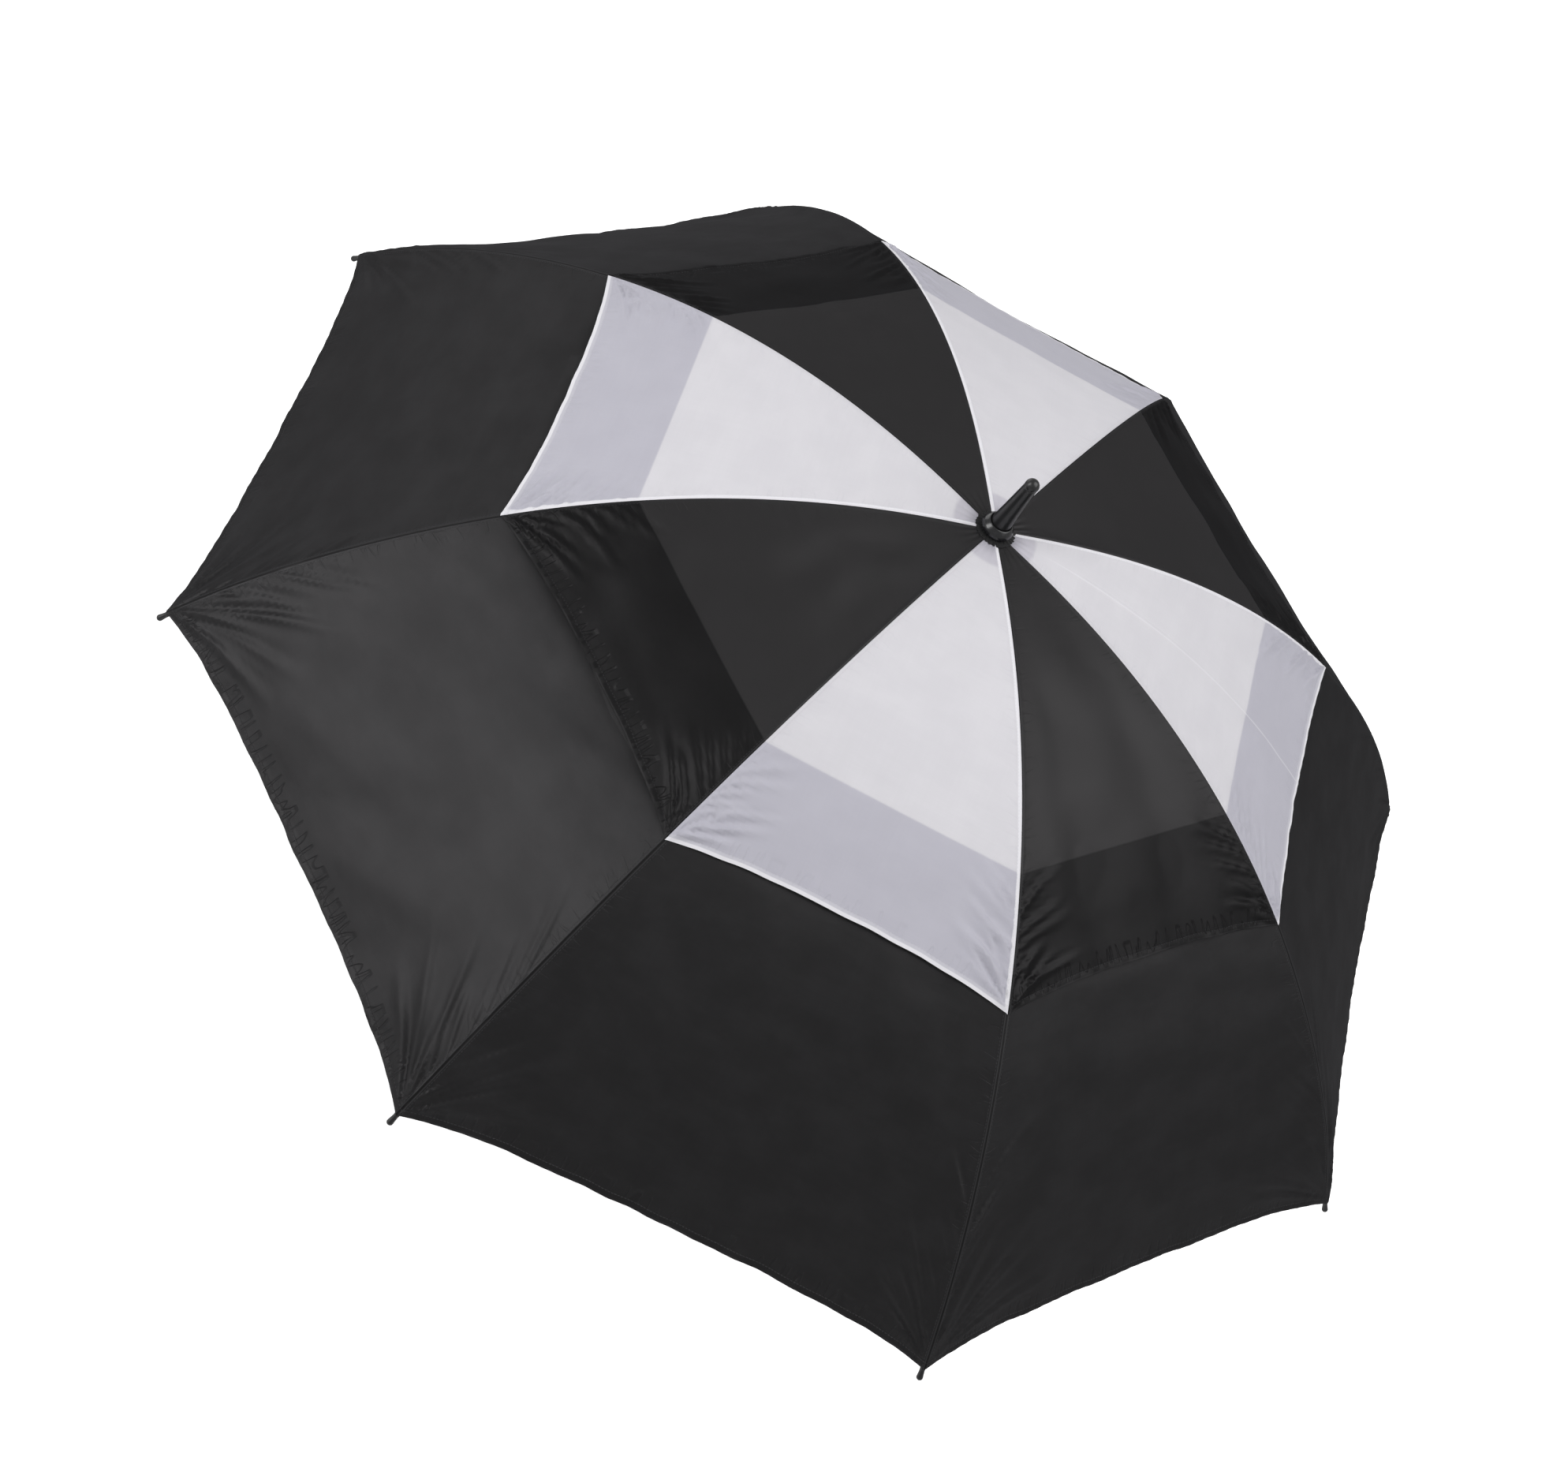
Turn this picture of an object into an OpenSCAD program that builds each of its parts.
// Golf umbrella, drawn open: eight ribs, a two-layer vented canopy, a sliding
// runner with eight stretchers, a straight shaft with a straight grip and a
// tapered ferrule on top. Millimetres. Origin at the centre of the grip's end
// face, +Z up the shaft. Rib 1 points along +X, ribs are numbered
// anticlockwise seen from above, and panel N lies between rib N and rib N+1.

/* [Shaft and grip] */
// Outer diameter of the shaft tube
shaft_d = 14; // [12:0.5:14]
// Wall thickness of the shaft tube
shaft_wall = 2; // [1.5:0.1:2.2]
// Largest diameter of the hand grip
grip_d = 34; // [30:1:38]
// Height of the top of the hand grip above its end face
grip_top = 168; // [150:1:172]

/* [Rib] */
// Diameter of a rib rod and of a stretcher rod
rod_d = 3.2; // [2.8:0.1:3.4]
// Height of the crown pivots above the end of the grip
crown_z = 930; // [925:1:940]
// Distance of the crown pivots and the runner pivots from the shaft axis
pivot_r = 11.5; // [11.3:0.1:12]
// Length of the inner rib along its curve, from crown pivot to flex joint
inner_len = 427; // [420:1:430]
// Length of the outer rib along its curve, from flex joint to tip
outer_len = 323; // [310:1:325]
// Slope of a rib below horizontal at the crown, in degrees
crown_slope = -4; // [-5:0.5:-3]
// Slope of a rib below horizontal at the flex joint, in degrees
joint_slope = 32.3; // [31:0.1:33]
// Slope of a rib below horizontal at the tip, in degrees
tip_slope = 55.3; // [53:0.1:56]

/* [Stretcher] */
// Distance along the rib from crown pivot to stretcher bracket
bracket_at = 350; // [345:1:352]
// Distance of the bracket rivet below the rib centreline
bracket_drop = 7; // [7:0.1:7.4]

/* [Canopy] */
// Thickness of one fabric layer, heavier than the cloth so that it stays a solid
fabric_t = 0.4; // [0.3:0.05:0.4]
// Distance along the rib to the hem corners of the upper canopy
upper_end = 427; // [420:1:430]
// Distance along the rib to the inner edge of the lower canopy
lower_start = 311; // [300:1:320]
// Distance along the rib to the hem corners of the lower canopy
lower_end = 737; // [725:1:737]
// How far the upper hem is cut in at the middle of a panel
upper_bow = 11; // [5:1:16]
// How far the lower hem is cut in at the middle of a panel
lower_bow = 12.5; // [8:0.5:20]
// How sharply the lower hem turns out to the tips
lower_flare = 2.6; // [1.4:0.2:3]
// How far a panel sinks between two ribs at the hem
panel_sag = 7; // [2:1:12]

/* [Ferrule] */
// Height of the ferrule's tip above the crown pivots
ferrule_top = 79; // [70:1:84]
// Diameter of the ferrule at its base
ferrule_base_d = 19; // [18.5:0.5:20]
// Diameter of the ferrule's rounded end
ferrule_tip_d = 13.2; // [11:0.2:14]

/* [Hidden] */
$fn = 48;

// Colours shared by several pieces
rod_black = [0.1, 0.1, 0.11];
fitting_black = [0.07, 0.07, 0.07];
wire_grey = [0.75, 0.75, 0.77];
cloth_black = [0.13, 0.13, 0.135];

rib_step = 45;               // angle between neighbouring ribs
shaft_r = shaft_d / 2;
rod_r = rod_d / 2;
socket_r = rod_r + 0.05;     // bore over a rod
sleeve_r = 2.35;             // outside of the bracket clip and of the tip cap's mouth
wire_r = 0.6;                // pivot wire
wire_hole_r = 0.68;          // eye bore on the pivot wire
rivet_r = 1.0;               // bracket rivet
rivet_hole_r = 1.06;         // stretcher eye on the bracket rivet
knuckle_r = rod_r + 0.5;     // ball of the flex joint

// The rib is two circular arcs that meet at the flex joint with one tangent.
// Points are [out, up] from the crown pivot.
function normal(slope) = [sin(slope), cos(slope)];
function arc_angle(length, radius) = length / radius * 180 / PI;
inner_bend_r = inner_len / (joint_slope - crown_slope) * 180 / PI;
outer_bend_r = outer_len / (tip_slope - joint_slope) * 180 / PI;
inner_centre = -inner_bend_r * normal(crown_slope);
joint = inner_centre + inner_bend_r * normal(joint_slope);
outer_centre = joint - outer_bend_r * normal(joint_slope);
rib_len = inner_len + outer_len;
// Slope in degrees, and point, at a distance along the rib
function rib_slope(along) = along <= inner_len
  ? crown_slope + arc_angle(along, inner_bend_r)
  : joint_slope + arc_angle(along - inner_len, outer_bend_r);
function rib_point(along) = along <= inner_len
  ? inner_centre + inner_bend_r * normal(rib_slope(along))
  : outer_centre + outer_bend_r * normal(rib_slope(along));

// Linkage: crown pivot to rivet is as long as rivet to runner pivot
rivet = rib_point(bracket_at) - bracket_drop * normal(rib_slope(bracket_at));
link_len = norm(rivet);
link_rise = atan2(-rivet[1], rivet[0]);
runner_z = crown_z + 2 * rivet[1];
runner_drop = 56;            // runner pivots to the runner's lower edge
runner_low = runner_z - runner_drop;

// ---- shared shapes ----
module at_rib(k) {
  rotate([0, 0, (k - 1) * rib_step]) translate([pivot_r, 0, crown_z]) children();
}
// Frame on the rib's centreline, +X along the rib towards the tip
module at_arc(along) {
  point = rib_point(along);
  translate([point[0], 0, point[1]]) rotate([0, rib_slope(along), 0]) children();
}
module along_x(r, from, to) {
  translate([from, 0, 0]) rotate([0, 90, 0]) cylinder(r = r, h = to - from);
}
module across(r, width) { rotate([90, 0, 0]) cylinder(r = r, h = width, center = true); }
// Cylinder on the shaft axis, or a cone where top_r is given
module drum(z, height, r, top_r = undef, $fn = 96) {
  translate([0, 0, z]) cylinder(r1 = r, r2 = is_undef(top_r) ? r : top_r, h = height);
}
module shaft_bore(z, height, clearance) { drum(z, height, shaft_r + clearance); }
// Solid turned about the shaft axis from an outline of [radius, height above z]
module turned(outline, z = 0) {
  rotate_extrude($fn = 96) polygon([for (p = outline) [p[0], z + p[1]]]);
}
// Ring of wire through the eight pivots
module wire_ring(z, r) {
  translate([0, 0, z]) rotate_extrude($fn = 96) translate([pivot_r, 0]) circle(r = r, $fn = 24);
}

// ---- shaft and catches ----
shaft_low = 22;
shaft_rise = 32;             // top of the shaft above the crown pivots
bore_rise = 20;              // top of its bore above the crown pivots
catch_az = 22.5;             // side of the shaft that the two catches are on
catch_top = runner_low - 1;  // shelf of the upper catch
catch_low = 214;             // shelf of the lower catch
catch_slot_w = 3.2;
catch_pin_x = 5.4;
catch_pin_drop = 37;         // catch shelf to its pin
catch_pin_r = 0.8;
catch_pin_len = 6.2;
leaf_t = 2.4;
// Side view of a catch leaf: [distance from the shaft axis, height above the shelf]
leaf_outline = [
  [3.9, -39.4], [6.7, -39.4], [6.7, -14], [9.4, -3], [9.4, 0], [5.2, 0], [5.2, -8], [3.9, -14]
];

module catch_pin(shelf, r, length) {
  translate([catch_pin_x, 0, shelf - catch_pin_drop]) across(r, length);
}
module catch_slot(shelf) {
  rotate([0, 0, catch_az]) {
    translate([3, -catch_slot_w / 2, shelf - 42]) cube([6, catch_slot_w, 43]);
    catch_pin(shelf, catch_pin_r + 0.02, 20);
  }
}
module shaft() {
  color([0.12, 0.12, 0.13]) {
    difference() {
      drum(shaft_low, crown_z + shaft_rise - shaft_low, shaft_r);
      drum(shaft_low - 1, crown_z + bore_rise - shaft_low + 1, shaft_r - shaft_wall, $fn = 64);
      catch_slot(catch_top);
      catch_slot(catch_low);
    }
    for (shelf = [catch_top, catch_low])
      rotate([0, 0, catch_az]) catch_pin(shelf, catch_pin_r, catch_pin_len);
  }
}
module catch_leaf(shelf) {
  color([0.72, 0.72, 0.74])
    rotate([0, 0, catch_az]) translate([0, leaf_t / 2, 0]) rotate([90, 0, 0])
      difference() {
        linear_extrude(height = leaf_t) polygon([for (p = leaf_outline) [p[0], shelf + p[1]]]);
        translate([catch_pin_x, shelf - catch_pin_drop, -1])
          cylinder(r = catch_pin_r + 0.07, h = 5, $fn = 32);
      }
}
module top_catch() { catch_leaf(catch_top); }
module bottom_catch() { catch_leaf(catch_low); }

// ---- grip ----
grip_r = grip_d / 2;
grip_low = 12;               // lower end of the grip, above the end cap
spigot_r = 9;                // end cap's spigot inside the grip
spigot_top = 19.8;
// Outlines as [inset from the grip's radius, z]
grip_insets = [
  [0, 82], [0.5, 92], [1.3, 104], [1.9, 118], [2.0, 132],
  [1.6, 144], [1.4, 152], [2.0, 159], [3.6, 164], [6, grip_top]
];
end_cap_insets = [[3.4, 0], [1.6, 0.9], [0.5, 2.6], [0.2, 5], [0.2, 11.9]];
function grip_outline(insets) = [for (p = insets) [grip_r - p[0], p[1]]];

module handle_grip() {
  color([0.09, 0.09, 0.09]) difference() {
    union() {
      drum(grip_low, 70, grip_r);
      turned(concat([[0, 80]], grip_outline(grip_insets), [[0, grip_top]]));
    }
    shaft_bore(z = 20, height = grip_top, clearance = 0.05);
    drum(grip_low - 1, 9.2, spigot_r + 0.05, $fn = 64);
  }
}
module handle_end_cap() {
  spigot = [[spigot_r, 11.9], [spigot_r, spigot_top], [0, spigot_top]];
  color([0.06, 0.06, 0.06]) turned(concat([[0, 0]], grip_outline(end_cap_insets), spigot));
}

// ---- ferrule ----
ferrule_low = 16.2;          // heights above the crown pivots
ferrule_cone = 20.2;
module ferrule() {
  tip_r = ferrule_tip_d / 2;
  base_r = ferrule_base_d / 2;
  ball = ferrule_top - tip_r;
  color([0.05, 0.05, 0.05]) difference() {
    union() {
      drum(crown_z + ferrule_low, ferrule_cone - ferrule_low, base_r);
      drum(crown_z + ferrule_cone, ball - ferrule_cone - 2, base_r, tip_r - 0.2);
      drum(crown_z + ball - 2.4, 2.4, tip_r - 0.6);
      translate([0, 0, crown_z + ball]) sphere(r = tip_r, $fn = 96);
    }
    shaft_bore(z = crown_z + 10, height = 22.2, clearance = 0.04);
  }
}

// ---- crown ----
slot_w = 2.2;                // radial slots of the crown and the runner
slot_start = 8.9;            // inner end of a slot
// Outlines as [radius, height above the crown pivots]
cap_outline = [
  [0, 8.7], [14.6, 8.7], [15.2, 9.4], [15.3, 10.6], [15, 12], [14.2, 13.8], [13, 15.6],
  [11.8, 17], [11, 17.7], [10.5, 17.8], [10.1, 17.5], [9.8, 16.1], [0, 16.1]
];
rosette_outline = [[0, 6.1], [19.5, 6.1], [19.5, 7.4], [16.2, 8.5], [0, 8.5]];

// Notched disc: eight radial slots, open outwards and on the side the arms fold to.
// Children are cut away too.
module notch_disc(z, folds_down) {
  difference() {
    drum(z - (folds_down ? 3.6 : 4.4), 8, 15.5);
    for (k = [0:7]) rotate([0, 0, k * rib_step])
      translate([slot_start, -slot_w / 2, z - (folds_down ? 5 : 3.2)]) cube([9, slot_w, 8.2]);
    wire_ring(z, wire_r + 0.06);
    children();
  }
}
module crown() {
  color(fitting_black) notch_disc(crown_z, folds_down = true)
    shaft_bore(z = crown_z - 10, height = 20, clearance = 0.04);
}
module crown_wire() { color(wire_grey) wire_ring(crown_z, wire_r); }
module crown_cap() {
  color([0.04, 0.04, 0.04]) difference() {
    turned(cap_outline, crown_z);
    shaft_bore(z = crown_z, height = 20, clearance = 0.05);
  }
}
module rosette() {
  color([0.1, 0.1, 0.1]) difference() {
    turned(rosette_outline, crown_z);
    shaft_bore(z = crown_z, height = 20, clearance = 0.3);
  }
}

// ---- runner ----
runner_r = 11;               // sleeve
runner_foot_r = 13;          // wider lower end
channel_w = 3.8;             // channel and window on the catch side
module runner() {
  color(fitting_black) difference() {
    union() {
      notch_disc(runner_z, folds_down = false);
      drum(runner_z - 12, 7.8, runner_r, 13.4);
      drum(runner_low + 10, runner_drop - 22 + 0.2, runner_r);
      drum(runner_low + 5, 5.1, runner_foot_r, runner_r);
      drum(runner_low, 5.1, runner_foot_r);
    }
    shaft_bore(z = runner_low - 1, height = runner_drop + 10, clearance = 0.08);
    rotate([0, 0, catch_az]) {
      translate([5, -channel_w / 2, runner_low - 1]) cube([5, channel_w, runner_drop + 10]);
      translate([5, -channel_w / 2, runner_low + 14]) cube([12, channel_w, 14]);
    }
  }
}
module runner_wire() { color(wire_grey) wire_ring(runner_z, wire_r); }

// ---- ribs and stretchers ----
pivot_eye_r = 2.4;           // eyes on the two pivot wires
pivot_eye_t = 1.6;
rivet_eye_r = 2.6;           // stretcher eye on the rivet, and the bracket's cheeks
rivet_eye_t = 2.1;
cheek_t = 1.2;
tip_cap_r = 2.9;

// Rod bent to an arc, between two slopes
module arc_rod(centre, bend_r, from, to) {
  translate([centre[0], 0, centre[1]]) rotate([90, 0, 0]) rotate([0, 0, 90 - to])
    rotate_extrude(angle = to - from, $fn = 720)
      translate([bend_r, 0]) circle(r = rod_r, $fn = 32);
}
// Flat eye on a pivot at the origin, running out along +X into a round socket
module eye_end(eye_r, thick, hole_r, length) {
  difference() {
    union() {
      across(eye_r, thick);
      translate([0, -thick / 2, -eye_r]) cube([9.5, thick, 2 * eye_r]);
      along_x(2.5, 8.5, length);
    }
    across(hole_r, thick + 2);
    along_x(socket_r, 10.5, length + 1);
  }
}
// Clip on the rib, with two cheeks that the stretcher hangs between
module bracket() {
  difference() {
    union() {
      along_x(sleeve_r, -7, 7);
      for (side = [-1, 1]) translate([0, side * 1.85, 0]) {
        translate([-rivet_eye_r, -cheek_t / 2, -bracket_drop])
          cube([2 * rivet_eye_r, cheek_t, bracket_drop - 1.2]);
        translate([0, 0, -bracket_drop]) across(rivet_eye_r, cheek_t);
      }
    }
    along_x(socket_r, -8, 8);
    translate([0, 0, -bracket_drop]) across(rivet_r + 0.02, 10);
  }
}
// Rivet with a head at each end
module bracket_rivet() {
  translate([0, 0, -bracket_drop]) {
    across(rivet_r, 5.4);
    for (side = [-1, 1]) translate([0, side * 2.8, 0]) across(1.7, 0.6);
  }
}
// Inner rib with its joint ball, crown eye and stretcher bracket
module rib(k) {
  at_rib(k) {
    color(rod_black) {
      arc_rod(inner_centre, inner_bend_r, rib_slope(10.8), joint_slope);
      translate([joint[0], 0, joint[1]]) sphere(r = knuckle_r);
    }
    color([0.68, 0.68, 0.7]) rotate([0, rib_slope(6.6), 0])
      eye_end(pivot_eye_r, pivot_eye_t, wire_hole_r, length = 16);
    color(fitting_black) at_arc(bracket_at) bracket();
    color([0.7, 0.7, 0.72]) at_arc(bracket_at) bracket_rivet();
  }
}
// Outer rib, hollowed at its inner end for the joint ball
module rib_outer(k) {
  at_rib(k) color(rod_black) difference() {
    arc_rod(outer_centre, outer_bend_r,
            joint_slope + arc_angle(0.9, outer_bend_r), rib_slope(rib_len - 2));
    translate([joint[0], 0, joint[1]]) sphere(r = knuckle_r + 0.05);
  }
}
module tip_cap(k) {
  at_rib(k) color([0.05, 0.05, 0.05]) at_arc(rib_len - 5) difference() {
    union() {
      along_x(sleeve_r, -6, -4);
      translate([-4, 0, 0]) rotate([0, 90, 0]) cylinder(r1 = sleeve_r, r2 = tip_cap_r, h = 8);
      translate([4, 0, 0]) sphere(r = tip_cap_r);
    }
    along_x(socket_r, -8, 3.4);
  }
}
module stretcher(k) {
  at_rib(k) translate([0, 0, 2 * rivet[1]]) rotate([0, -link_rise, 0]) {
    color(rod_black) along_x(rod_r, 10.7, link_len - 10.7);
    color(fitting_black) {
      eye_end(pivot_eye_r, pivot_eye_t, wire_hole_r, length = 20);
      translate([link_len, 0, 0]) mirror([1, 0, 0])
        eye_end(rivet_eye_r, rivet_eye_t, rivet_hole_r, length = 20);
    }
  }
}

// ---- canopy ----
upper_height = rod_r + 1.9;  // underside of the cloth above the rib centrelines
lower_height = rod_r + 1.15;
upper_flare = 1.4;
seam_gap = 0.4;              // panel edge to the seam
strap_panel = 1;             // lower panel that carries the closing strap
strap_share = 0.67;          // place of the strap across that panel
strap_start = 662;           // distances along the rib
strap_end = 721;
strap_w = 22;
strap_t = 1.4;

// Extra height of the cloth close to the crown
function crown_lift(along) = 1.9 * exp(-along / 35);
function sag(along, share) = panel_sag * 4 * share * (1 - share) * pow(along / lower_end, 1.5);
// Point of a panel, a share of the way from its rib to the next, at a distance
// along the ribs and a height above their centrelines
function panel_point(n, along, share, height) =
  let (slope = rib_slope(along),
       p = rib_point(along) + (height + crown_lift(along)) * normal(slope),
       start = (n - 1) * rib_step, end = n * rib_step, middle = start + rib_step / 2,
       r = pivot_r + p[0], sink = sag(along, share), inward = sink * sin(slope))
  [(1 - share) * r * cos(start) + share * r * cos(end) - inward * cos(middle),
   (1 - share) * r * sin(start) + share * r * sin(end) - inward * sin(middle),
   crown_z + p[1] - sink * cos(slope)];
// Share of the chord between two ribs that the seam gap takes up
function edge_share(along) =
  seam_gap / (2 * (pivot_r + rib_point(along)[0]) * sin(rib_step / 2));
function panel_grid(n, start, end, bow, flare, rows, cols, height) = [
  for (i = [0:rows]) for (j = [0:cols])
    let (q = j / cols,
         hem = end - bow * (1 - pow(1 - 4 * q * (1 - q), flare)),
         along = start + (hem - start) * i / rows,
         edge = edge_share(along))
    panel_point(n, along, edge + (1 - 2 * edge) * q, height)
];
// Two triangles on a grid cell: first corner, and index steps to its two neighbours
function cell(a, b, c) = [[a, a + b, a + c], [a + c, a + b, a + b + c]];
module panel(n, start, end, bow, flare, rows, cols, height) {
  row = cols + 1;
  layer = (rows + 1) * row;
  points = concat(
    panel_grid(n, start, end, bow, flare, rows, cols, height),
    panel_grid(n, start, end, bow, flare, rows, cols, height + fabric_t)
  );
  // Underside, top, the edges on this rib and the next, inner edge, hem
  faces = concat(
    [for (i = [0:rows - 1]) for (j = [0:cols - 1]) each cell(i * row + j, row, 1)],
    [for (i = [0:rows - 1]) for (j = [0:cols - 1]) each cell(layer + i * row + j, 1, row)],
    [for (i = [0:rows - 1]) each cell(i * row, layer, row)],
    [for (i = [0:rows - 1]) each cell(i * row + cols, row, layer)],
    [for (j = [0:cols - 1]) each cell(j, 1, layer)],
    [for (j = [0:cols - 1]) each cell(rows * row + j, layer, 1)]
  );
  polyhedron(points = points, faces = faces, convexity = 4);
}
module upper_panel(n) {
  color(n % 2 == 0 ? [0.88, 0.87, 0.9] : cloth_black)
    panel(n, 0, upper_end, upper_bow, upper_flare, rows = 12, cols = 8, height = upper_height);
}
module lower_panel(n) {
  color(cloth_black)
    panel(n, lower_start, lower_end, lower_bow, lower_flare,
          rows = 10, cols = 10, height = lower_height);
  if (n == strap_panel) color([0.12, 0.12, 0.12]) tie_strap(n);
}
// Folded closing strap, sewn under the hem of a panel
module tie_strap(n) {
  along = (strap_start + strap_end) / 2;
  length = strap_end - strap_start;
  slope = rib_slope(along);
  p = rib_point(along);
  r = pivot_r + p[0];
  half = rib_step / 2;
  sink = sag(along, strap_share);
  rotate([0, 0, (n - 0.5) * rib_step])
    translate([r * cos(half) - sink * sin(slope), r * sin(half) * (2 * strap_share - 1),
               crown_z + p[1] - sink * cos(slope)])
      rotate([0, atan2(sin(slope), cos(slope) * cos(half)), 0])
        translate([-length / 2, -strap_w / 2, rod_r - 2.2]) cube([length, strap_w, strap_t]);
}

shaft();
handle_grip();
handle_end_cap();
ferrule();
crown();
crown_wire();
crown_cap();
rosette();
runner();
runner_wire();
top_catch();
bottom_catch();
rib(1);  // rib_1
rib(2);  // rib_2
rib(3);  // rib_3
rib(4);  // rib_4
rib(5);  // rib_5
rib(6);  // rib_6
rib(7);  // rib_7
rib(8);  // rib_8
rib_outer(1);  // rib_outer_1
rib_outer(2);  // rib_outer_2
rib_outer(3);  // rib_outer_3
rib_outer(4);  // rib_outer_4
rib_outer(5);  // rib_outer_5
rib_outer(6);  // rib_outer_6
rib_outer(7);  // rib_outer_7
rib_outer(8);  // rib_outer_8
tip_cap(1);  // tip_cap_1
tip_cap(2);  // tip_cap_2
tip_cap(3);  // tip_cap_3
tip_cap(4);  // tip_cap_4
tip_cap(5);  // tip_cap_5
tip_cap(6);  // tip_cap_6
tip_cap(7);  // tip_cap_7
tip_cap(8);  // tip_cap_8
stretcher(1);  // stretcher_1
stretcher(2);  // stretcher_2
stretcher(3);  // stretcher_3
stretcher(4);  // stretcher_4
stretcher(5);  // stretcher_5
stretcher(6);  // stretcher_6
stretcher(7);  // stretcher_7
stretcher(8);  // stretcher_8
upper_panel(1);  // upper_panel_1
upper_panel(2);  // upper_panel_2
upper_panel(3);  // upper_panel_3
upper_panel(4);  // upper_panel_4
upper_panel(5);  // upper_panel_5
upper_panel(6);  // upper_panel_6
upper_panel(7);  // upper_panel_7
upper_panel(8);  // upper_panel_8
lower_panel(1);  // lower_panel_1
lower_panel(2);  // lower_panel_2
lower_panel(3);  // lower_panel_3
lower_panel(4);  // lower_panel_4
lower_panel(5);  // lower_panel_5
lower_panel(6);  // lower_panel_6
lower_panel(7);  // lower_panel_7
lower_panel(8);  // lower_panel_8
